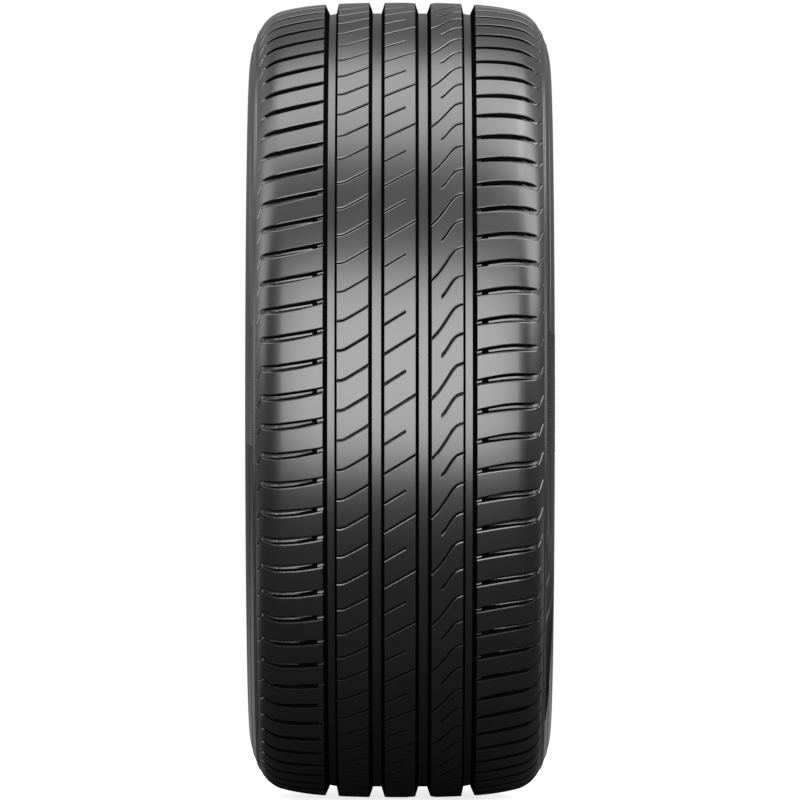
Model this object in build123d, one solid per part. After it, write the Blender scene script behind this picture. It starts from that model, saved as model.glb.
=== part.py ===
from build123d import *
import os
from math import radians, sqrt, tan

# Car tyre, moulded in one piece. Millimetres and degrees.
# The wheel centre is the origin, the wheel spins about Y and Z is up.
# Y is across the tread, and sizes across the tread are measured from the middle plane.

# Overall size
outer_diameter = 653.0
section_width = 246.6

# Rim that the beads seat on
rim_seat_diameter = 462.0
rim_width = 215.9
seat_taper = 5.0

# Crown and shoulder, outside
crown_section_radius = 800.0
shoulder_inset = 23.3
shoulder_drop = 8.1
wall_start_inset = 10.7
wall_start_drop = 19.0
widest_height = 41.0

# Lower sidewall and bead, heights above the rim seat
guard_inset = 2.0
guard_height = 26.0
guard_bevel = 2.0
guard_thickness = 5.5
flange_height = 10.0
heel_chamfer = 6.0
land_offset = 11.0
land_width = 8.0
bead_inner_width = 13.0
bead_inner_height = 14.0

# Rubber thickness, inside
under_groove_thickness = 7.0
sidewall_thickness = 8.0
liner_crown_inset = 41.0
liner_corner_inset = 14.0
liner_corner_drop = 30.0

# Grooves round the tread
groove_depth = 8.0
outer_groove_width = 11.4
outer_groove_centre = 55.7
outer_groove_steep_wall = 2.4
outer_groove_slack_wall = 3.4
inner_groove_width = 13.0
inner_groove_centre = 18.75
inner_groove_wall = 2.8

# Slots across the two shoulders, one at each pitch
pitch_count = 86
slot_inner_depth = 4.6
slot_outer_depth = 5.0
slot_wall_draft = 27.0
slot_end_inset = 26.0
left_slot_rise = (7.5, 2.0)
right_slot_rise = (-9.8, -4.6)

# Radii and half widths that follow from the sizes above
tread_radius = outer_diameter / 2
half_width = section_width / 2
seat_radius = rim_seat_diameter / 2
half_rim = rim_width / 2
centre_rib_half = inner_groove_centre - inner_groove_width / 2
shoulder_edge = outer_groove_centre + outer_groove_width / 2
land_radius = seat_radius - land_offset * tan(radians(seat_taper))
land_outer = half_rim - land_offset
land_inner = land_outer - land_width


def crown_drop(across):
    """How far the crown falls below the tread radius: it is flat on the centre rib and an arc outside it."""
    outside_rib = max(across - centre_rib_half, 0)
    return crown_section_radius - sqrt(crown_section_radius**2 - outside_rib**2)


def groove_floor_points(centre, width, inner_wall, outer_wall):
    """Section of one groove: inner edge, two floor corners and outer edge, from the middle outwards."""
    inner = centre - width / 2
    outer = centre + width / 2
    floor = tread_radius - groove_depth
    return [
        (inner, tread_radius - crown_drop(inner)),
        (inner + inner_wall, floor),
        (outer - outer_wall, floor - crown_drop(outer)),
        (outer, tread_radius - crown_drop(outer)),
    ]


def rubber_section():
    """The rubber's section in the YZ plane: the +Y half and its mirror image."""
    inner_groove = groove_floor_points(
        inner_groove_centre, inner_groove_width, inner_groove_wall, inner_groove_wall
    )
    outer_groove = groove_floor_points(
        outer_groove_centre, outer_groove_width, outer_groove_steep_wall, outer_groove_slack_wall
    )
    crown_inside = tread_radius - groove_depth - under_groove_thickness
    shoulder = (half_width - shoulder_inset, tread_radius - shoulder_drop)
    wall_start = (half_width - wall_start_inset, tread_radius - wall_start_drop)
    widest = (half_width, seat_radius + widest_height)
    guard_top = (half_width - guard_inset, seat_radius + guard_height)
    guard_bottom = (guard_top[0] - guard_bevel, guard_top[1] - guard_thickness)
    flange_top = (half_rim, seat_radius + flange_height)
    heel_top = (half_rim, seat_radius + heel_chamfer)
    heel = (half_rim - heel_chamfer, seat_radius - heel_chamfer * tan(radians(seat_taper)))
    bead_inside = (half_rim - bead_inner_width, seat_radius + bead_inner_height)
    liner_corner = (half_width - liner_corner_inset, tread_radius - liner_corner_drop)
    liner_widest = (half_width - sidewall_thickness, (bead_inside[1] + liner_corner[1]) / 2)
    liner_crown = (half_width - liner_crown_inset, crown_inside)

    with BuildSketch(Plane.YZ) as section:
        with BuildLine():
            Line((0, crown_inside), (0, tread_radius))
            Line((0, tread_radius), inner_groove[0])
            Polyline(*inner_groove)
            Line(inner_groove[-1], outer_groove[0])
            Polyline(*outer_groove)
            crown_slope = (shoulder_edge - centre_rib_half) / crown_section_radius
            shoulder_land = TangentArc(outer_groove[-1], shoulder, tangent=(1, -crown_slope))
            shoulder_round = TangentArc(shoulder, wall_start, tangent=shoulder_land % 1)
            TangentArc(wall_start, widest, tangent=shoulder_round % 1)
            Polyline(widest, guard_top, guard_bottom, flange_top, heel_top, heel)
            Polyline(heel, (land_outer, land_radius), (land_inner, land_radius), bead_inside)
            Polyline(bead_inside, liner_widest, liner_corner, liner_crown, (0, crown_inside))
        make_face()
        mirror(about=Plane.YZ)
    return section.sketch


def shoulder_slot(side, rise):
    """Cutter for one shoulder slot at the top of the tyre: a wedge, open to the groove, with a blunt end."""
    start_height = tread_radius - crown_drop(shoulder_edge) - slot_inner_depth
    end_height = tread_radius - shoulder_drop - slot_outer_depth
    start = Vector(-rise[0], side * shoulder_edge, start_height)
    end = Vector(-rise[1], side * (half_width - slot_end_inset), end_height)
    along = end - start
    overlap = along.normalized() * outer_groove_slack_wall
    section_plane = Plane(origin=start - overlap, x_dir=(-side, 0, 0), z_dir=along)
    top = 2 * groove_depth
    spread = top * tan(radians(slot_wall_draft))
    wedge = Polygon((0, 0), (spread, top), (-spread, top), align=None)
    return extrude(section_plane * wedge, amount=along.length + overlap.length)


def around(cutter):
    """The cutter repeated at every pitch, with one copy facing +X."""
    step = 360 / pitch_count
    return [Rot(0, 90 + index * step, 0) * cutter for index in range(pitch_count)]


def tyre():
    """The whole tyre: the section spun about Y and cut by the shoulder slots."""
    carcass = revolve(rubber_section(), axis=Axis.Y)
    slots = around(shoulder_slot(-1, left_slot_rise)) + around(shoulder_slot(1, right_slot_rise))
    return carcass - slots


os.makedirs("parts", exist_ok=True)
export_step(tyre(), "parts/tyre.step")
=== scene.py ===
"""Looks of a low-profile car tyre, standing upright and seen square on to its tread.

The rubber is one piece: a tile of tread two pitches long is cut with its grooves, slots and sipes,
repeated round the tyre, and closed by the sidewalls, the beads and the liner.
Sizes are in millimetres until a vertex is written.
Across the tread is y, and round the tread is t, which runs upwards at the front.
"""

import logging
import math
from dataclasses import dataclass, field
from enum import Enum
from typing import Any, ClassVar, Iterable, Sequence

import bpy
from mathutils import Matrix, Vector, geometry


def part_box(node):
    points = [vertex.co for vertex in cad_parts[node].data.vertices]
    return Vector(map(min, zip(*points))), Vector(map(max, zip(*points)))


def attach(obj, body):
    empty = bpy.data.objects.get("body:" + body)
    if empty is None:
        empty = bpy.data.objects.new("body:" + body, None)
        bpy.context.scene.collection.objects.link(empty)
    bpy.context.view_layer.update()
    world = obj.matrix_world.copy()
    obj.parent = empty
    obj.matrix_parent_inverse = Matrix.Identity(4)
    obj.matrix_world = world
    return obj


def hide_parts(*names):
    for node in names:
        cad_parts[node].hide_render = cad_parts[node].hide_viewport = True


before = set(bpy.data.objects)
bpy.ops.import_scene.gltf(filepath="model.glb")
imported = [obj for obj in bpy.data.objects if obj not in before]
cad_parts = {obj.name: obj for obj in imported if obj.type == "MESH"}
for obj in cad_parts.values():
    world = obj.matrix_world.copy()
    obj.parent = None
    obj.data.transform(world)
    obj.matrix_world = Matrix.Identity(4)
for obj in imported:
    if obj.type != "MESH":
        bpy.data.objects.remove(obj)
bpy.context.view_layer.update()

log = logging.getLogger("tyre")

MM = 0.001
PITCHES_PER_TILE = 2
QUARTER_TURN = math.radians(90)

# Copies of a cut, counted from its own place, that can reach the tile
COPIES = range(-3, 4)

Pair = tuple[float, float]
Line = tuple[Pair, ...]
Row = tuple[float, float, float, float]
Colour = tuple[float, float, float, float]


def lerp(first: float, second: float, share: float) -> float:
    """Value that lies a share of the way from first to second."""
    return first + (second - first) * share


def ramp(value: float, knots: Sequence[Pair]) -> float:
    """Piecewise linear function through knots, level outside them.

    Args:
        value: Where the function is read.
        knots: Places and values, in rising order of place.

    Returns:
        The value there.
    """
    if value <= knots[0][0]:
        return knots[0][1]
    for (x0, y0), (x1, y1) in zip(knots, knots[1:]):
        if value <= x1:
            return lerp(y0, y1, (value - x0) / (x1 - x0)) if x1 > x0 else y1
    return knots[-1][1]


@dataclass(frozen=True)
class Arc:
    """Circular arc of the tyre's section that leaves its start in a given direction."""

    start: Vector
    end: Vector
    heading: Vector

    @property
    def radius(self) -> float:
        """Radius of the arc, which bends towards the wheel's axis."""
        chord = self.end - self.start
        return chord.length_squared / (2 * chord.dot(self.inward))

    @property
    def inward(self) -> Vector:
        """Unit vector at the start that points to the arc's centre."""
        return Vector((self.heading.y, -self.heading.x)).normalized()

    @property
    def centre(self) -> Vector:
        """Centre of the arc."""
        return self.start + self.inward * self.radius

    @property
    def leaving(self) -> Vector:
        """Direction of the arc at its end."""
        spoke = (self.end - self.centre).normalized()
        return Vector((spoke.y, -spoke.x))

    def at(self, y: float) -> tuple[Vector, Vector]:
        """Point and outward normal at a distance across the tread.

        Args:
            y: Distance from the tyre's middle plane.

        Returns:
            The point (y, radius) and the unit normal there.
        """
        across = y - self.centre.x
        rise = math.sqrt(max(self.radius**2 - across**2, 0.0))
        point = Vector((y, self.centre.y + rise))
        return point, (point - self.centre).normalized()

    def beside(self, r: float) -> tuple[Vector, Vector]:
        """Point (y, radius) and outward unit normal at a distance r from the wheel's axis."""
        point = Vector((self.centre.x + math.sqrt(self.radius**2 - (r - self.centre.y) ** 2), r))
        return point, (point - self.centre).normalized()


@dataclass(frozen=True)
class Corner:
    """Corner of the lower section, rounded off to about a radius."""

    y: float
    r: float
    fillet: float


@dataclass(frozen=True)
class Section:
    """Section of the rubber: the outside from the crown to the widest place, then the bead and the liner."""

    radius: float
    half_width: float
    rib_half: float = 12.25
    crown_radius: float = 800.0
    shoulder_edge: float = 61.4
    shoulder_inset: float = 28.3
    shoulder_drop: float = 6.4
    wall_inset: float = 10.7
    wall_drop: float = 19.0
    widest_drop: float = 54.5
    rim_half: float = 107.95
    seat_drop: float = 95.5
    widest_height: float = 41.0
    guard_inset: float = 2.0
    guard_height: float = 26.0
    guard_bevel: float = 2.0
    guard_thickness: float = 5.5
    flange_height: float = 10.0
    heel_height: float = 3.0
    heel_inset: float = 6.0
    heel_drop: float = 0.52
    toe_inset: float = 19.0
    toe_drop: float = 0.96
    bead_inset: float = 13.0
    bead_height: float = 14.0
    sidewall_thickness: float = 8.0
    liner_widest_height: float = 39.75
    liner_corner_inset: float = 14.0
    liner_corner_drop: float = 30.0
    liner_crown_inset: float = 41.0
    crown_thickness: float = 15.0

    def arcs(self) -> list[Arc]:
        """The arcs of the outside, each tangent to the one before.

        Returns:
            The arcs of the crown, the land, the shoulder and the wall.
        """
        crown_drop = (self.shoulder_edge - self.rib_half) ** 2 / (2 * self.crown_radius)
        ends = [
            Vector((self.shoulder_edge, self.radius - crown_drop)),
            Vector((self.half_width - self.shoulder_inset, self.radius - self.shoulder_drop)),
            Vector((self.half_width - self.wall_inset, self.radius - self.wall_drop)),
            Vector((self.half_width, self.radius - self.widest_drop)),
        ]
        start, heading = Vector((self.rib_half, self.radius)), Vector((1.0, 0.0))
        chain = []
        for end in ends:
            chain.append(Arc(start, end, heading))
            start, heading = end, chain[-1].leaving
        return chain

    def outside(self, y: float, arcs: Sequence[Arc]) -> tuple[Vector, Vector]:
        """Point and outward normal of the uncut outside.

        Args:
            y: Place across the tread, negative on the left.
            arcs: The arcs of this section.

        Returns:
            The point (y, radius) and the unit normal there.
        """
        side = -1.0 if y < 0 else 1.0
        if abs(y) <= self.rib_half:
            return Vector((y, self.radius)), Vector((0.0, 1.0))
        arc = next((a for a in arcs if abs(y) <= a.end.x), arcs[-1])
        point, normal = arc.at(abs(y))
        return Vector((side * point.x, point.y)), Vector((side * normal.x, normal.y))

    def liner_middle(self) -> Vector:
        """Point of the liner under the middle of the tread."""
        return Vector((0.0, self.radius - self.crown_thickness))

    def lower_corners(self) -> list[Corner]:
        """Corners from the widest place down to the bead, round it and up along the liner.

        Returns:
            Corners of the right side in order.
        """
        seat, wide, rim = self.radius - self.seat_drop, self.half_width, self.rim_half
        guard_foot = self.guard_height - self.guard_thickness
        return [
            Corner(wide, seat + self.widest_height, fillet=8.0),
            Corner(wide - self.guard_inset, seat + self.guard_height, fillet=3.0),
            Corner(wide - self.guard_inset - self.guard_bevel, seat + guard_foot, fillet=2.5),
            Corner(rim, seat + self.flange_height, fillet=9.0),
            Corner(rim, seat + self.heel_height, fillet=5.0),
            Corner(rim - self.heel_inset, seat - self.heel_drop, fillet=3.0),
            Corner(rim - self.toe_inset, seat - self.toe_drop, fillet=2.0),
            Corner(rim - self.bead_inset, seat + self.bead_height, fillet=8.0),
            Corner(wide - self.sidewall_thickness, seat + self.liner_widest_height, fillet=20.0),
            Corner(wide - self.liner_corner_inset, self.radius - self.liner_corner_drop, fillet=14.0),
            Corner(wide - self.liner_crown_inset, self.radius - self.crown_thickness, fillet=25.0),
        ]


@dataclass(frozen=True)
class RoundedPath:
    """Line through corners that are rounded off, none over more than a share of the legs beside it."""

    start: Vector
    corners: Sequence[Corner]
    end: Vector
    step: float = math.radians(14)
    reach: float = 0.45

    def points(self) -> list[Vector]:
        """Points along the line, the first one left out.

        Returns:
            Points in the (y, r) plane.
        """
        spots = [self.start] + [Vector((c.y, c.r)) for c in self.corners] + [self.end]
        line = []
        for before, corner, spot, after in zip(spots, self.corners, spots[1:], spots[2:]):
            line += self.rounded(before, spot, after, corner.fillet)
        return line + [self.end]

    def rounded(self, before: Vector, spot: Vector, after: Vector, fillet: float) -> list[Vector]:
        """One corner as points on its fillet.

        Args:
            before: The point before the corner.
            spot: The corner.
            after: The point after it.
            fillet: Radius of the fillet.

        Returns:
            Points from where the fillet starts to where it ends.
        """
        back, on = (before - spot).normalized(), (after - spot).normalized()
        turn = math.pi - back.angle(on)
        leg = min((before - spot).length, (after - spot).length)
        run = min(fillet * math.tan(turn / 2), self.reach * leg)
        start, end = spot + back * run, spot + on * run
        count = max(1, math.ceil(turn / self.step))
        blend = []
        for index in range(count + 1):
            share = index / count
            blend.append(start * (1 - share) ** 2 + spot * 2 * share * (1 - share) + end * share**2)
        return blend


@dataclass(frozen=True)
class WallRing:
    """Fine raised ring moulded on the sidewall."""

    drop: float
    width: float
    height: float
    flank: float = 0.35

    def knots(self) -> list[Pair]:
        """Height of the ring by the distance below the tread radius.

        Returns:
            Distances and heights, from its outer to its inner foot.
        """
        half = self.width / 2
        return [
            (self.drop - half - self.flank, 0.0),
            (self.drop - half, self.height),
            (self.drop + half, self.height),
            (self.drop + half + self.flank, 0.0),
        ]


class Finish(Enum):
    """Finish of a face, as its place among the tyre's materials; the cut one is painted shade, darker and
    without gloss, and the ribbed one has a darker colour that is painted shade.
    """

    SATIN = 0
    CUT = 1
    RIBBED = 2


@dataclass(frozen=True)
class RibbedPanel:
    """Panel of fine ribs on a sidewall, each a bar with two feet and a crest, sunk a little into the wall."""

    STATION_POINTS: ClassVar[int] = 3

    side: int
    from_angle: float
    to_angle: float
    outer_drop: float
    inner_drop: float
    tail_drop: float
    slant: float
    height: float
    # The ribbed material's duller gloss is the panel's own matte finish; its darker colour is painted shade
    finish: Finish = Finish.RIBBED
    pitch: float = 2.2
    sink: float = 0.06
    segments: int = 3

    def ribs(self, radius: float, wall: Arc) -> list[list[tuple[Vector, float]]]:
        """The ribs as stations of three points each.

        Args:
            radius: Tread radius.
            wall: Arc of the sidewall.

        Returns:
            For each rib, points (y, r) with their angles. A station is a foot, the crest and the other foot.
        """
        middle = radius - (self.outer_drop + self.inner_drop) / 2
        step = self.pitch / middle
        start, end = math.radians(self.from_angle), math.radians(self.to_angle)
        count = int((end - start) / step)
        bars = []
        for rib in range(count):
            bar = []
            inner_drop = lerp(self.tail_drop, self.inner_drop, rib / count)
            for station in range(self.segments + 1):
                share = station / self.segments
                r = radius - lerp(self.outer_drop, inner_drop, share)
                foot, normal = wall.beside(r)
                turn = start + step * rib + math.radians(self.slant) * share
                crest = foot + normal * self.height
                foot = foot - normal * self.sink
                bar += [(foot, turn), (crest, turn + step / 2), (foot, turn + step)]
            bars.append([(Vector((self.side * p.x, p.y)), turn) for p, turn in bar])
        return bars


class Course(Enum):
    """Which way a cut runs."""

    ACROSS = "across the tread"
    AROUND = "round the tread"


class Profile(Enum):
    """Form of a cut's low and high side, as shares of the way from wall to floor and of the depth there."""

    WEDGE = ((), ())
    TROUGH = (((0.18, 0.6), (0.5, 0.82), (0.72, 0.92)), ((0.36, 0.76), (0.62, 0.97)))


@dataclass(frozen=True)
class Station:
    """Section of a cut at one place along it: edges, inner ends of the bevels, sides of the floor, depths."""

    along: float
    low_edge: float
    low_wall: float
    low_floor: float
    high_floor: float
    high_wall: float
    high_edge: float
    depth: float
    bevel: float

    def flank(self, wall: float, floor: float, steps: Sequence[Pair]) -> list[Pair]:
        """One side of the section from its bevel to its floor.

        Args:
            wall: Inner end of the bevel.
            floor: Side of the floor.
            steps: Shares of the way and of the depth between them.

        Returns:
            Places and depths.
        """
        bevel = min(self.bevel, self.depth)
        knots = [(wall, bevel)]
        for way, down in steps:
            knots.append((lerp(wall, floor, way), lerp(bevel, self.depth, down)))
        return knots + [(floor, self.depth)]

    def knots(self, profile: Profile) -> list[Pair]:
        """Depth of the section by the place across it.

        Args:
            profile: Form of the section between bevel and floor.

        Returns:
            Places and depths, from the low edge to the high one.
        """
        low = self.flank(self.low_wall, self.low_floor, profile.value[0])
        high = self.flank(self.high_wall, self.high_floor, profile.value[1])
        return [(self.low_edge, 0.0)] + low + high[::-1] + [(self.high_edge, 0.0)]


@dataclass(frozen=True)
class Cut:
    """Slot or sipe that repeats round the tread."""

    stations: tuple[Station, ...]
    repeat: float
    course: Course = Course.ACROSS
    profile: Profile = Profile.WEDGE

    def lines(self) -> list[list[Pair]]:
        """Break lines of one copy.

        Returns:
            Lines of (y, t) points: the edges, the bevels, the roundings and the sides of the floor.
        """
        sections = [s.knots(self.profile) for s in self.stations]
        strands = []
        for rank in range(len(sections[0])):
            strand = [(s.along, knots[rank][0]) for s, knots in zip(self.stations, sections)]
            strands.append(strand if self.course is Course.ACROSS else [(y, t) for t, y in strand])
        return strands

    def depth_at(self, y: float, t: float) -> float:
        """Depth of the deepest copy of the cut.

        Args:
            y: Place across the tread.
            t: Place round the tread.

        Returns:
            The depth, 0 outside the cut.
        """
        deepest = 0.0
        for copy in COPIES:
            shifted = t - copy * self.repeat
            place = (y, shifted) if self.course is Course.ACROSS else (shifted, y)
            deepest = max(deepest, self.one_depth(*place))
        return deepest

    def one_depth(self, along: float, offset: float) -> float:
        """Depth of the first copy.

        Args:
            along: Place along the cut.
            offset: Place across the cut.

        Returns:
            The depth, 0 outside the cut.
        """
        for first, second in zip(self.stations, self.stations[1:]):
            if first.along <= along <= second.along:
                share = (along - first.along) / (second.along - first.along)
                pairs = zip(first.knots(self.profile), second.knots(self.profile))
                knots = [(lerp(a[0], b[0], share), lerp(a[1], b[1], share)) for a, b in pairs]
                return ramp(offset, knots)
        return 0.0


@dataclass(frozen=True)
class Groove:
    """Groove that runs right round the tread."""

    left: float
    right: float
    left_wall: float
    right_wall: float
    depth: float = 8.0
    chamfer: float = 0.35

    def knots(self) -> list[Pair]:
        """Depth of the groove by the place across the tread.

        Returns:
            Places and depths, from its left to its right edge.
        """
        return [
            (self.left, 0.0),
            (self.left + self.chamfer, self.chamfer),
            (self.left + self.left_wall, self.depth),
            (self.right - self.right_wall, self.depth),
            (self.right - self.chamfer, self.chamfer),
            (self.right, 0.0),
        ]


@dataclass(frozen=True)
class NarrowForm:
    """Form of a sipe or a fine hook."""

    width: float
    floor: float
    chamfer: float
    bevel: float
    depth: float

    def station(self, along: float, middle: float, closed: bool, stretch: float, lean: float) -> Station:
        """Section of the cut at one place.

        Args:
            along: Place along the cut.
            middle: Middle of the cut there.
            closed: Whether the cut ends there.
            stretch: Factor for its widths, where it runs aslant.
            lean: How far its floor lies from its middle.

        Returns:
            The section.
        """
        wall, floor = self.width / 2 * stretch, self.floor / 2 * stretch
        edge, low = wall + self.chamfer * stretch, middle + lean
        sides = (middle - edge, middle - wall, low - floor, low + floor, middle + wall, middle + edge)
        return Station(along, *sides, 0.0 if closed else self.depth, self.bevel)


@dataclass(frozen=True)
class TreadPattern:
    """The grooves and cuts of the tread."""

    pitch: float
    rib_half: float
    shoulder_edge: float
    sipe_form: NarrowForm = NarrowForm(width=1.3, floor=0.12, chamfer=0.8, bevel=0.39, depth=5.5)
    short_sipe_from: float = 35.0
    slot_low_chamfer: float = 0.9
    slot_high_chamfer: float = 0.6
    slot_bevel: float = 0.4
    slot_end_depth: float = 3.1
    slot_end_share: float = 0.9
    left_floor: Pair = (0.45, 0.53)
    left_slot: tuple[Row, ...] = (
        (-111.2, 1.2, 3.4, 0.0),
        (-109.0, 0.0, 4.05, 1.4),
        (-106.5, -0.5, 4.2, 2.2),
        (-103.5, -0.8, 4.3, 2.7),
        (-100.8, -0.95, 4.4, 3.1),
        (-98.0, -1.0, 4.5, 3.5),
        (-92.1, -0.4, 5.25, 3.7),
        (-85.8, 0.5, 6.1, 3.9),
        (-79.4, 1.55, 6.95, 4.5),
        (-70.1, 3.6, 8.4, 5.6),
        (-69.4, 3.75, 8.55, 6.6),
        (-66.4, 4.4, 9.0, 6.6),
        (-65.7, 4.65, 9.2, 2.6),
        (-58.4, 6.55, 10.65, 2.4),
    )
    right_floor: Pair = (0.33, 0.4)
    right_slot: tuple[Row, ...] = (
        (58.4, -12.3, -8.45, 2.4),
        (64.9, -11.1, -6.8, 2.6),
        (65.6, -11.0, -6.65, 6.6),
        (70.0, -10.35, -5.7, 6.6),
        (70.7, -10.2, -5.55, 5.4),
        (81.0, -8.95, -3.65, 4.4),
        (87.4, -8.35, -2.8, 4.0),
        (92.5, -7.95, -2.45, 3.8),
        (98.0, -7.9, -2.5, 3.5),
        (101.5, -7.7, -2.45, 3.1),
        (104.0, -7.4, -2.4, 2.8),
        (106.5, -7.0, -2.35, 2.1),
        (108.0, -6.6, -2.3, 1.3),
        (110.0, -5.6, -2.8, 0.0),
    )
    hook_form: NarrowForm = NarrowForm(width=1.6, floor=0.2, chamfer=0.05, bevel=0.04, depth=0.6)
    left_lean: float = -0.4
    left_hook: Line = ((-7.2, -113.3), (-6.4, -113.0), (-1.6, -111.0), (0.2, -110.3), (1.0, -110.0))
    right_lean: float = 0.35
    right_hook: Line = ((-6.8, 109.5), (-6.0, 109.8), (-2.6, 111.3), (3.4, 113.1), (4.4, 113.3))

    @property
    def period(self) -> float:
        """Length round the tread after which everything repeats."""
        return PITCHES_PER_TILE * self.pitch

    def grooves(self) -> list[Groove]:
        """The four grooves round the tread.

        Returns:
            Grooves from left to right.
        """
        inner = Groove(left=self.rib_half, right=25.25, left_wall=2.8, right_wall=3.0)
        outer = Groove(left=50.0, right=self.shoulder_edge, left_wall=2.4, right_wall=3.4)
        left = [Groove(-g.right, -g.left, g.right_wall, g.left_wall) for g in (outer, inner)]
        return left + [inner, outer]

    def sipe(self, line: Sequence[Pair], every: float, blind: int = 0) -> Cut:
        """Narrow sipe along a line.

        Args:
            line: Points (y, t) on its middle, from left to right.
            every: Distance round the tread to the next copy.
            blind: -1 or 1 if the left or right end is closed, 0 if both are open.

        Returns:
            The cut.
        """
        last = len(line) - 1
        stations = []
        for index, (y, t) in enumerate(line):
            before, after = line[max(index - 1, 0)], line[min(index + 1, last)]
            slope = (after[1] - before[1]) / (after[0] - before[0])
            stretch = math.hypot(1.0, slope)
            closed = (index == 0 and blind < 0) or (index == last and blind > 0)
            stations.append(self.sipe_form.station(y, t, closed, stretch, lean=0.0))
        return Cut(tuple(stations), every)

    def cuts(self) -> list[Cut]:
        """All cuts of the tread.

        Returns:
            The slot and hook of the left shoulder, the sipes, then the slot and hook of the right shoulder.
        """
        left = [self.slot(self.left_floor, self.left_slot), self.hook(self.left_lean, self.left_hook)]
        right = [self.slot(self.right_floor, self.right_slot), self.hook(self.right_lean, self.right_hook)]
        return left + self.ribs() + right

    def ribs(self) -> list[Cut]:
        """The sipes of the left, centre and right rib.

        Returns:
            The cuts from left to right.
        """
        left = [(-52.4, -8.7), (-47.0, -8.5), (-44.0, -7.6), (-40.0, -5.4)]
        left += [(-30.0, 0.6), (-26.4, 2.9), (-22.9, 5.2)]
        long_centre = [(-14.6, -12.9), (0.0, -3.7), (14.6, 5.5)]
        short_centre = [(-14.6, 10.8), (-4.0, 17.5), (4.1, 22.6), (4.9, 23.1)]
        long_right = [(22.9, -0.8), (25.6, 1.2), (30.5, 6.5), (35.5, 13.8), (40.5, 21.9)]
        long_right += [(42.5, 24.6), (44.5, 26.7), (47.0, 28.1), (52.4, 29.8)]
        blind_end = [(32.6, -13.5), (33.2, -12.6)]
        short_right = [(y, t - self.pitch) for y, t in long_right if y > self.short_sipe_from]
        return [
            self.sipe(left, self.pitch),
            self.sipe(long_centre, self.period),
            self.sipe(short_centre, self.period, blind=1),
            self.sipe(long_right, self.period),
            self.sipe(blind_end + short_right, self.period, blind=-1),
        ]

    def slot(self, floor: Pair, rows: Sequence[Row]) -> Cut:
        """Slot across a shoulder, with a rounded floor that leans to the high wall where the slot runs out.

        Args:
            floor: The two sides of its floor, as shares of the way from its low to its high wall.
            rows: Place across the tread, low wall, high wall and depth there.

        Returns:
            The cut.
        """
        stations = []
        for y, low, high, depth in rows:
            lean = max(1 - depth / self.slot_end_depth, 0.0)
            shares = [lerp(share, self.slot_end_share, lean) for share in floor]
            low_floor, high_floor = (lerp(low, high, share) for share in shares)
            low_edge, high_edge = low - self.slot_low_chamfer, high + self.slot_high_chamfer
            sides = (low_edge, low, low_floor, high_floor, high, high_edge)
            stations.append(Station(y, *sides, depth, self.slot_bevel))
        return Cut(tuple(stations), self.pitch, profile=Profile.TROUGH)

    def hook(self, lean: float, line: Sequence[Pair]) -> Cut:
        """Fine hook at the end of a slot, closed at both ends and with one wall gentler than the other.

        Args:
            lean: How far its floor lies to the right of its middle.
            line: Points (t, y) on its middle, in rising order of t.

        Returns:
            The cut.
        """
        ends = (line[0], line[-1])
        stations = [self.hook_form.station(*spot, spot in ends, 1.0, lean) for spot in line]
        return Cut(tuple(stations), self.pitch, Course.AROUND)


@dataclass(frozen=True)
class TileVertex:
    """Vertex of the tread tile."""

    y: float
    t: float
    depth: float


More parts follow.
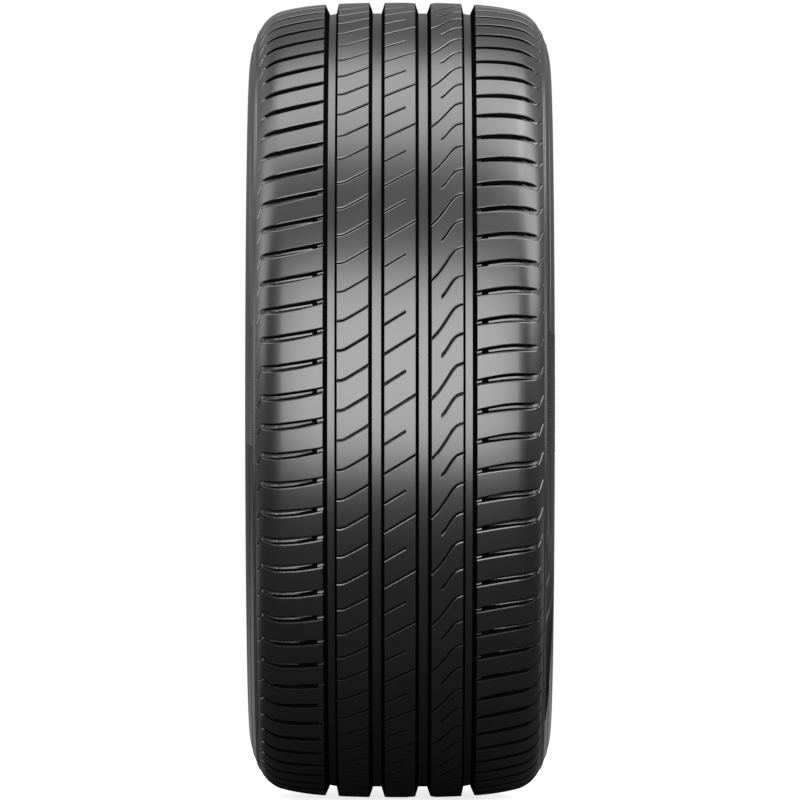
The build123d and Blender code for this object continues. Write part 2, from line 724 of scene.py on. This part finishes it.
@dataclass
class TreadTile:
    """Two pitches of tread as a flat triangulation with a depth at every vertex."""

    pattern: TreadPattern
    edge: float
    grid: float = 5.8
    fine_grid: float = 2.9
    fine_from: float = 96.0
    clearance: float = 1.1
    columns: int = 5
    tight: float = 1e-4
    digits: int = 2
    wall_slope: float = 0.7
    hook_from: float = 109.6
    pit_depth: float = 6.2
    vertices: list[TileVertex] = field(default_factory=list, init=False)
    faces: list[tuple[int, ...]] = field(default_factory=list, init=False)
    slopes: list[Pair] = field(default_factory=list, init=False)
    # Which faces take the darker, glossless material as painted shade: walls and pits of the cuts
    shade_painted: list[bool] = field(default_factory=list, init=False)
    match: dict[int, int] = field(default_factory=dict, init=False)
    rank: dict[int, int] = field(default_factory=dict, init=False)

    def __post_init__(self) -> None:
        """Keeps what is read at every vertex, then builds the tile."""
        self.period = self.pattern.period
        self.grooves, self.cuts = self.pattern.grooves(), self.pattern.cuts()
        self.build()

    def slope(self, face: Sequence[int]) -> Pair:
        """How fast the depth grows over a face.

        Args:
            face: Indices of its three vertices.

        Returns:
            Growth of the depth across and round the tread, 0 for a sliver.
        """
        a, b, c = (Vector((v.y, v.t, v.depth)) for v in (self.vertices[i] for i in face))
        normal = (b - a).cross(c - a)
        if abs(normal.z) < self.tight:
            return 0.0, 0.0
        return -normal.x / normal.z, -normal.y / normal.z

    def is_shade_painted(self, face: Sequence[int], slope: Pair) -> bool:
        """Whether a face is a wall of a cut, an end of a cut in a groove's wall, or the floor of a pit, which
        get the darker, glossless material as painted shade.

        Args:
            face: Indices of its three vertices.
            slope: Growth of the depth over it.

        Returns:
            True for a wall or a pit, False for uncut rubber, a chamfer, a fine hook or any other floor.
        """
        middle = sum(self.vertices[i].y for i in face) / len(face)
        if math.hypot(*slope) > self.wall_slope:
            return abs(middle) < self.hook_from
        groove = next((g for g in self.grooves if g.left < middle < g.right), None)
        if groove is None:
            return min(self.vertices[i].depth for i in face) > self.pit_depth
        left, right = middle - groove.left, groove.right - middle
        return groove.chamfer < left < groove.left_wall or groove.chamfer < right < groove.right_wall

    def depth_at(self, y: float, t: float) -> float:
        """Depth of the deepest groove or cut at a place y across and t round the tread."""
        grooves = [ramp(y, g.knots()) for g in self.grooves if g.left <= y <= g.right]
        return max(grooves + [cut.depth_at(y, t) for cut in self.cuts])

    def clipped(self, line: Sequence[Pair]) -> Iterable[tuple[Pair, Pair]]:
        """Segments of a line that lie on the tile.

        Args:
            line: Points (y, t).

        Yields:
            The two ends of each segment.
        """
        for first, second in zip(line, line[1:]):
            low, high = sorted((first, second), key=lambda p: p[1])
            if high[1] <= 0.0 or low[1] >= self.period:
                continue
            span = high[1] - low[1]
            ends = []
            for limit, end in ((0.0, low), (self.period, high)):
                outside = end[1] < 0.0 or end[1] > self.period
                share = (limit - low[1]) / span if outside else 0.0
                ends.append((lerp(low[0], high[0], share), limit) if outside else end)
            yield ends[0], ends[1]

    def constraints(self) -> tuple[list[Vector], list[tuple[int, int]]]:
        """Break lines of all grooves and cuts, and the border of the tile.

        Returns:
            Points and the pairs of points that are edges.
        """
        segments = []
        for groove in self.grooves:
            segments += [((y, 0.0), (y, self.period)) for y, _ in groove.knots()]
        for cut in self.cuts:
            for line in cut.lines():
                for copy in COPIES:
                    shifted = [(y, t + copy * cut.repeat) for y, t in line]
                    segments += self.clipped(shifted)
        steps = [self.period * i / self.columns for i in range(self.columns + 1)]
        for y in (-self.edge, self.edge):
            segments += [((y, a), (y, b)) for a, b in zip(steps, steps[1:])]
        for t in (0.0, self.period):
            segments.append(((-self.edge, t), (self.edge, t)))
        points = [Vector(p) for segment in segments for p in segment]
        edges = [(2 * i, 2 * i + 1) for i in range(len(segments))]
        return points, edges

    def fill(self) -> list[Vector]:
        """Points spread over the uncut rubber, clear of every cut.

        Returns:
            Points (y, t), with the same places on both ends of the tile.
        """
        places, y = [], 0.0
        while y < self.edge - self.fine_grid / 2:
            places += [y, -y] if y else [y]
            y += self.fine_grid if y >= self.fine_from else self.grid
        rows = round(self.period / self.grid)
        points = []
        for y in places:
            for row in range(rows + 1):
                t = self.period * row / rows
                around = [(y, t), (y - self.clearance, t), (y + self.clearance, t)]
                around += [(y, t - self.clearance), (y, t + self.clearance)]
                if not any(self.depth_at(*spot) > 0.0 for spot in around):
                    points.append(Vector((y, t)))
        return points

    def build(self) -> None:
        """Triangulates the tile, reads its depths and ranks the vertices that each copy keeps."""
        points, edges = self.constraints()
        points += self.fill()
        spots, _, faces, *_ = geometry.delaunay_2d_cdt(points, edges, [], 0, self.tight)
        self.vertices = [TileVertex(p.x, p.y, self.depth_at(p.x, p.y)) for p in spots]
        self.faces = [tuple(f) for f in faces]
        self.slopes = [self.slope(f) for f in self.faces]
        # Walls and pits that are painted with shade
        self.shade_painted = [self.is_shade_painted(f, slope) for f, slope in zip(self.faces, self.slopes)]
        self.match = self.matches()
        kept = [i for i in range(len(self.vertices)) if i not in self.match]
        self.rank = {index: place for place, index in enumerate(kept)}

    def matches(self) -> dict[int, int]:
        """Vertices on the far end of the tile and the same places on its near end.

        Returns:
            Index on the near end for each index on the far end.
        """
        places = [(i, round(v.y, self.digits), v.t) for i, v in enumerate(self.vertices)]
        near = {y: i for i, y, t in places if t < self.tight}
        return {i: near[y] for i, y, t in places if t > self.period - self.tight}


@dataclass
class TyreMesh:
    """The whole rubber as one mesh: a closed body, and ribs sunk into its sidewalls."""

    section: Section
    pitches: int = 86
    tile_edge: float = 114.6
    wall_steps: int = 10
    sharp_angle: float = math.radians(28)
    rings: tuple[WallRing, ...] = (
        WallRing(drop=23.6, width=0.7, height=0.45),
        WallRing(drop=26.0, width=0.7, height=0.45),
        WallRing(drop=34.5, width=0.6, height=0.3),
    )
    # Side, first and last angle, outer, inner and tail drop, slant and height
    panels: tuple[RibbedPanel, ...] = (
        RibbedPanel(1, -8.5, 10.8, 29.5, 48.0, 48.0, 0.0, 0.8),
        RibbedPanel(1, -28.6, -22.5, 27.5, 44.0, 44.0, 3.4, 0.6),
        RibbedPanel(1, -35.0, -29.8, 27.5, 44.0, 44.0, 3.4, 0.6),
        RibbedPanel(1, -60.0, -36.2, 27.5, 44.0, 30.0, 3.4, 0.6),
        RibbedPanel(-1, -7.0, 12.0, 27.5, 42.0, 42.0, 0.0, 0.35, Finish.SATIN),
    )
    vertices: list[Vector] = field(default_factory=list, init=False)
    faces: list[tuple[int, ...]] = field(default_factory=list, init=False)
    finishes: list[Finish] = field(default_factory=list, init=False)

    def __post_init__(self) -> None:
        """Makes the arcs of the outside and the tread tile."""
        section = self.section
        self.arcs = section.arcs()
        self.tiles = self.pitches // PITCHES_PER_TILE
        pitch = 2 * math.pi * section.radius / self.pitches
        self.tile = TreadTile(TreadPattern(pitch, section.rib_half, section.shoulder_edge), self.tile_edge)

    def place(self, spot: Vector, angle: float) -> Vector:
        """Vertex in metres for a point (y, r) of the section, turned upwards from the front by an angle."""
        return Vector((spot.y * math.cos(angle), spot.x, spot.y * math.sin(angle))) * MM

    def wall_rows(self) -> list[Vector]:
        """Rows of the right side from the edge of the tread to the middle of the liner.

        Returns:
            Points (y, r), the tread's edge left out.
        """
        wall, section = self.arcs[-1], self.section
        top = wall.at(self.tile_edge)[0].y
        knots = [k for ring in self.rings for k in ring.knots()]
        shares = [i / self.wall_steps for i in range(1, self.wall_steps)]
        drops = {section.radius - lerp(top, wall.end.y, share) for share in shares}
        drops = sorted(drops | {k[0] for k in knots if section.radius - k[0] < top})
        rows = []
        for drop in drops:
            point, normal = wall.beside(section.radius - drop)
            rows.append(point + normal * ramp(drop, knots))
        return rows + RoundedPath(rows[-1], section.lower_corners(), section.liner_middle()).points()

    def tread_index(self, vertex: int, copy: int) -> int:
        """Index in the mesh of a vertex of the tile, whose far end is the near end of the next copy.

        Args:
            vertex: Index in the tile.
            copy: Number of the copy.

        Returns:
            Index among the mesh's vertices.
        """
        tile = self.tile
        if vertex in tile.match:
            vertex, copy = tile.match[vertex], (copy + 1) % self.tiles
        return copy * len(tile.rank) + tile.rank[vertex]

    def add_tread(self) -> None:
        """Adds the tile at every place round the tyre, joined end to end."""
        tile = self.tile
        outside = {i: self.section.outside(tile.vertices[i].y, self.arcs) for i in tile.rank}
        for copy in range(self.tiles):
            for i, (point, normal) in outside.items():
                vertex = tile.vertices[i]
                angle = (vertex.t + copy * tile.period) / self.section.radius
                self.vertices.append(self.place(point - normal * vertex.depth, angle))
            self.faces += [tuple(self.tread_index(i, copy) for i in face) for face in tile.faces]
        # Walls and pits of the cuts take the darker, glossless material: painted shade
        self.finishes += [Finish.CUT if shade_painted else Finish.SATIN for shade_painted in tile.shade_painted] * self.tiles

    def tread_edge(self, side: int) -> list[int]:
        """Vertices along one edge of the tread.

        Args:
            side: 1 for the right edge, -1 for the left.

        Returns:
            Indices in order round the tyre.
        """
        tile = self.tile
        on_edge = [i for i in tile.rank if abs(tile.vertices[i].y - side * self.tile_edge) < tile.tight]
        on_edge.sort(key=lambda i: tile.vertices[i].t)
        return [self.tread_index(i, copy) for copy in range(self.tiles) for i in on_edge]

    def add_walls(self) -> None:
        """Adds the sidewalls, the beads and the liner as rows that close the tread."""
        right = self.wall_rows()
        left = [Vector((-p.x, p.y)) for p in reversed(right[:-1])]
        first, last = self.tread_edge(1), self.tread_edge(-1)
        count = len(first)
        rows = [first]
        for spot in right + left:
            start = len(self.vertices)
            self.vertices += [self.place(spot, 2 * math.pi * i / count) for i in range(count)]
            rows.append(list(range(start, start + count)))
        rows.append(last)
        for row, following in zip(rows, rows[1:]):
            for i in range(count):
                j = (i + 1) % count
                self.faces.append((row[i], following[i], following[j], row[j]))
        self.finishes += [Finish.SATIN] * (count * (len(rows) - 1))

    def add_panels(self) -> None:
        """Adds the ribbed panels of the sidewalls."""
        for panel in self.panels:
            size = panel.STATION_POINTS
            for bar in panel.ribs(self.section.radius, self.arcs[-1]):
                start = len(self.vertices)
                self.vertices += [self.place(spot, angle) for spot, angle in bar]
                rings = [range(i, i + size) for i in range(start, start + len(bar), size)]
                faces = [tuple(rings[0]), tuple(reversed(rings[-1]))]
                for ring, following in zip(rings, rings[1:]):
                    for i in range(size):
                        j = (i + 1) % size
                        faces.append((ring[j], ring[i], following[i], following[j]))
                self.faces += [f if panel.side > 0 else tuple(reversed(f)) for f in faces]
                self.finishes += [panel.finish] * len(faces)

    def corner_normal(self, corner: TileVertex, slope: Pair, angle: float) -> Vector:
        """Normal at a corner of a tread face: that of the uncut outside, leaning with the face's own slope.

        Args:
            corner: The tile's vertex.
            slope: Growth of the depth over the face.
            angle: Turn from the front to the vertex.

        Returns:
            The unit normal in the tyre's frame.
        """
        out = self.section.outside(corner.y, self.arcs)[1]
        lean = Vector((out.x + slope[0] * out.y, out.y - slope[0] * out.x))
        up, forward = math.sin(angle), math.cos(angle)
        x, z = lean.y * forward - slope[1] * up, lean.y * up + slope[1] * forward
        return Vector((x, lean.x, z)).normalized()

    def normals(self) -> list[Vector]:
        """Normals of all face corners: worked out for the tread, left to Blender (zero) elsewhere.

        Returns:
            One vector for each corner of each face.
        """
        tile = self.tile
        found = []
        for copy in range(self.tiles):
            for face, slope in zip(tile.faces, tile.slopes):
                for index in face:
                    corner = tile.vertices[index]
                    angle = (corner.t + copy * tile.period) / self.section.radius
                    found.append(self.corner_normal(corner, slope, angle))
        walls = self.faces[len(tile.faces) * self.tiles :]
        return found + [Vector((0.0, 0.0, 0.0))] * sum(len(face) for face in walls)

    def build(self, name: str) -> bpy.types.Object:
        """Makes the object.

        Args:
            name: Its name.

        Returns:
            The new object, linked to the scene.
        """
        self.add_tread()
        self.add_walls()
        self.add_panels()
        mesh = bpy.data.meshes.new(name)
        mesh.from_pydata(self.vertices, [], self.faces)
        mesh.shade_smooth()
        for polygon, finish in zip(mesh.polygons, self.finishes):
            polygon.material_index = finish.value
        mesh.set_sharp_from_angle(angle=self.sharp_angle)
        mesh.normals_split_custom_set(self.normals())
        piece = bpy.data.objects.new(name, mesh)
        bpy.context.scene.collection.objects.link(piece)
        self.dress(piece)
        return piece

    def dress(self, piece: bpy.types.Object) -> None:
        """Gives the object the material of each finish, in order."""
        for finish in Finish:
            piece.data.materials.append(FINISHES[finish].material())


@dataclass(frozen=True)
class Socket:
    """Output socket of a shader node that takes part in Python arithmetic."""

    shader: "Shader"
    output: bpy.types.NodeSocket | None

    def math(self, operation: str, *values: Any) -> "Socket":
        """Result of a Math node over sockets and numbers."""
        return self.shader.node("ShaderNodeMath", {"operation": operation}, dict(enumerate(values)))

    def __add__(self, other: Any) -> "Socket":
        """Sum."""
        return self.math("ADD", self, other)

    def __radd__(self, other: Any) -> "Socket":
        """Sum with a number first."""
        return self.math("ADD", other, self)

    def __sub__(self, other: Any) -> "Socket":
        """Difference."""
        return self.math("SUBTRACT", self, other)

    def __rsub__(self, other: Any) -> "Socket":
        """Difference from a number."""
        return self.math("SUBTRACT", other, self)

    def __mul__(self, other: Any) -> "Socket":
        """Product."""
        return self.math("MULTIPLY", self, other)

    def __rmul__(self, other: Any) -> "Socket":
        """Product with a number first."""
        return self.math("MULTIPLY", other, self)

    def __truediv__(self, other: Any) -> "Socket":
        """Quotient."""
        return self.math("DIVIDE", self, other)

    def __rtruediv__(self, other: Any) -> "Socket":
        """Quotient of a number."""
        return self.math("DIVIDE", other, self)

    def clamp(self) -> "Socket":
        """Value held between 0 and 1."""
        return self.math("MINIMUM", self.math("MAXIMUM", self, 0.0), 1.0)


@dataclass
class Shader:
    """Node tree of a material or world, filled by code."""

    owner: Any

    def __post_init__(self) -> None:
        """Clears the owner's node tree."""
        self.owner.use_nodes = True
        self.tree = self.owner.node_tree
        self.tree.nodes.clear()

    def node(self, kind: str, settings: dict[str, Any], sockets: dict[Any, Any], output: Any = 0) -> Socket:
        """Any node.

        Args:
            kind: Node type.
            settings: Properties of the node.
            sockets: Values or sockets for its inputs, by name or index.
            output: Name or index of the output that is returned.

        Returns:
            The chosen output.
        """
        made = self.tree.nodes.new(kind)
        for key, value in settings.items():
            setattr(made, key, value)
        for key, value in sockets.items():
            if isinstance(value, Socket):
                self.tree.links.new(value.output, made.inputs[key])
            else:
                made.inputs[key].default_value = value
        return Socket(self, made.outputs[output] if made.outputs else None)

    def surface(self, sockets: dict[str, Any]) -> None:
        """Makes the material's surface of a Principled node with these inputs."""
        made = self.node("ShaderNodeBsdfPrincipled", {}, sockets)
        self.node("ShaderNodeOutputMaterial", {}, {"Surface": made})

    def mix(self, share: Any, first: Any, second: Any) -> Socket:
        """Colour that lies a share of the way from the first to the second."""
        # The node's number, vector and colour sockets share their names, so the colour ones go by index
        sockets = {0: share, 6: first, 7: second}
        return self.node("ShaderNodeMix", {"data_type": "RGBA"}, sockets, 2)

    def noise(self, scale: float, detail: float) -> Socket:
        """Noise of about 0 to 1 in the object's own space: scale in waves a metre, detail in octaves."""
        spot = self.node("ShaderNodeTexCoord", {}, {}, "Object")
        return self.node("ShaderNodeTexNoise", {}, {"Vector": spot, "Scale": scale, "Detail": detail})


def grey(level: float) -> Colour:
    """Neutral colour of a linear level."""
    return (level, level, level, 1.0)


@dataclass(frozen=True)
class RubberFinish:
    """Black moulded rubber: its colour, gloss and grain; the darker colours of the cut and ribbed materials
    are painted shade.
    """

    name: str
    dark: float = 0.009
    light: float = 0.014
    specular: float = 0.9
    roughness: float = 0.33
    ior: float = 1.7
    roughness_spread: float = 0.08
    cloud_scale: float = 14.0
    cloud_detail: float = 4.0
    cloud_middle: float = 0.5
    grain_scale: float = 1400.0
    grain_detail: float = 2.0
    grain_depth: float = 0.00006
    grain_strength: float = 0.25

    def material(self) -> bpy.types.Material:
        """Makes the material.

        Returns:
            The new material.
        """
        made = bpy.data.materials.new(self.name)
        shader = Shader(made)
        cloud = shader.noise(self.cloud_scale, self.cloud_detail)
        grain = shader.noise(self.grain_scale, self.grain_detail)
        bumps = {"Strength": self.grain_strength, "Distance": self.grain_depth, "Height": grain}
        shader.surface(
            {
                "Base Color": shader.mix(cloud, grey(self.dark), grey(self.light)),
                "Roughness": self.roughness + (cloud - self.cloud_middle) * self.roughness_spread,
                "Specular IOR Level": self.specular,
                "IOR": self.ior,
                "Normal": shader.node("ShaderNodeBump", {}, bumps),
            }
        )
        return made


FINISHES = {
    Finish.SATIN: RubberFinish("rubber"),
    # Painted shade: walls and pits of the cuts are darker and have no gloss, standing in for the shade deep
    # in them
    Finish.CUT: RubberFinish("rubber_cut_painted_shade", dark=0.003, light=0.006, specular=0.0, roughness=0.85),
    # Ribbed panels: the lower gloss and rougher surface are their own matte finish, and the darker base
    # colour is painted shade for the shade between the ribs
    Finish.RIBBED: RubberFinish("rubber_ribbed_painted_shade", dark=0.005, light=0.009, specular=0.35, roughness=0.5),
}


@dataclass(frozen=True)
class Panel:
    """Soft rectangular lamp that faces the tyre."""

    name: str
    azimuth: float
    elevation: float
    distance: float
    width: float
    height: float
    power: float

    def build(self) -> None:
        """Adds the lamp."""
        light = bpy.data.lights.new(self.name, "AREA")
        light.shape, light.energy = "RECTANGLE", self.power
        light.size, light.size_y = self.width, self.height
        lamp = bpy.data.objects.new(self.name, light)
        around, up = math.radians(self.azimuth), math.radians(self.elevation)
        level = self.distance * math.cos(up)
        lamp.location = (level * math.cos(around), level * math.sin(around), self.distance * math.sin(up))
        lamp.rotation_euler = (-lamp.location).to_track_quat("-Z", "Y").to_euler()
        bpy.context.scene.collection.objects.link(lamp)


@dataclass(frozen=True)
class Studio:
    """White studio: floor, backdrop, lamps and camera."""

    floor_size: float = 2.4
    floor_colour: float = 0.86
    floor_bounce: float = 0.03
    floor_glow: float = 0.8
    ambient: float = 0.04
    backdrop_gloss: float = 0.12
    floor_gloss: float = 0.01
    floor_back_gloss: float = 0.3
    back_from: float = 0.0
    back_fade: float = 0.3
    camera_distance: float = 8.37
    lens: float = 458.0
    # Name, azimuth, elevation, distance, width, height and power
    panels: tuple[Panel, ...] = (
        Panel("front panel", 0.0, 9.0, 9.5, 9.8, 10.2, 1130.0),
        Panel("top panel", 180.0, 86.5, 4.0, 4.4, 2.8, 103.0),
        Panel("left panel", -95.0, 33.0, 6.0, 3.4, 6.2, 116.0),
        Panel("right panel", 84.0, 41.0, 6.0, 5.0, 6.2, 262.0),
        Panel("left rim panel", -125.0, 20.0, 6.0, 4.0, 4.0, 19.0),
        Panel("right rim panel", 125.0, 24.0, 6.0, 4.0, 3.0, 7.0),
        Panel("back panel", 180.0, 20.0, 6.0, 6.0, 4.0, 14.0),
    )

    def build(self, floor_height: float) -> None:
        """Builds the studio round the tyre.

        Args:
            floor_height: Height of the floor.
        """
        self.floor(floor_height)
        self.world()
        for panel in self.panels:
            panel.build()
        self.camera()
        bpy.context.scene.view_settings.view_transform = "Standard"

    def floor(self, height: float) -> None:
        """Adds the floor: white to the camera, and dim to reflections but paler behind the tyre.

        Args:
            height: Height of the floor.
        """
        half = self.floor_size / 2
        mesh = bpy.data.meshes.new("floor")
        corners = [(-half, -half), (half, -half), (half, half), (-half, half)]
        mesh.from_pydata([(x, y, height) for x, y in corners], [], [(0, 1, 2, 3)])
        paint = bpy.data.materials.new("floor")
        shader = Shader(paint)
        spot = shader.node("ShaderNodeTexCoord", {}, {}, "Object")
        forward = shader.node("ShaderNodeSeparateXYZ", {}, {"Vector": spot}, "X")
        behind = ((self.back_from - forward) / self.back_fade).clamp()
        seen = self.seen(shader, self.floor_gloss + behind * self.floor_back_gloss)
        shader.surface(
            {
                "Base Color": shader.mix(seen, grey(self.floor_bounce), grey(self.floor_colour)),
                "Emission Color": shader.mix(seen, grey(0.0), grey(self.floor_glow)),
                "Emission Strength": 1.0,
                "Roughness": 1.0,
                "Specular IOR Level": 0.0,
            }
        )
        mesh.materials.append(paint)
        floor = bpy.data.objects.new("floor", mesh)
        bpy.context.scene.collection.objects.link(floor)

    def seen(self, shader: Shader, gloss: Any) -> Socket:
        """How much of the white studio a ray sees: all of it from the camera, and a share by reflection.

        Args:
            shader: The node tree that asks.
            gloss: The share by reflection.

        Returns:
            Share from 0 to 1.
        """
        rays = ("Is Camera Ray", "Is Glossy Ray", "Is Transmission Ray")
        camera, glossy, through = (shader.node("ShaderNodeLightPath", {}, {}, ray) for ray in rays)
        return (camera + glossy * gloss + through).clamp()

    def world(self) -> None:
        """Makes the backdrop white to the camera and dim as a light."""
        world = bpy.data.worlds.new("studio")
        bpy.context.scene.world = world
        shader = Shader(world)
        strength = self.ambient + self.seen(shader, self.backdrop_gloss) * (1.0 - self.ambient)
        sky = shader.node("ShaderNodeBackground", {}, {"Color": grey(1.0), "Strength": strength})
        shader.node("ShaderNodeOutputWorld", {}, {"Surface": sky})

    def camera(self) -> None:
        """Adds the camera, level with the wheel's centre and square on to the tread."""
        lens = bpy.data.cameras.new("camera")
        lens.lens = self.lens
        camera = bpy.data.objects.new("camera", lens)
        camera.location = (self.camera_distance, 0.0, 0.0)
        camera.rotation_euler = (QUARTER_TURN, 0.0, QUARTER_TURN)
        bpy.context.scene.collection.objects.link(camera)
        bpy.context.scene.camera = camera


def main() -> None:
    """Builds the tyre's looks and the studio."""
    low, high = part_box("tyre")
    section = Section(radius=high.z / MM, half_width=high.y / MM)
    tyre = TyreMesh(section).build("tyre_rubber")
    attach(tyre, "root")
    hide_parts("tyre")
    tyre.data.calc_loop_triangles()
    log.info("tyre_rubber: %d triangles", len(tyre.data.loop_triangles))
    Studio().build(low.z)
    log.info("studio built")


if __name__ == "__main__":
    logging.basicConfig(level=logging.INFO, format="%(message)s")
    main()
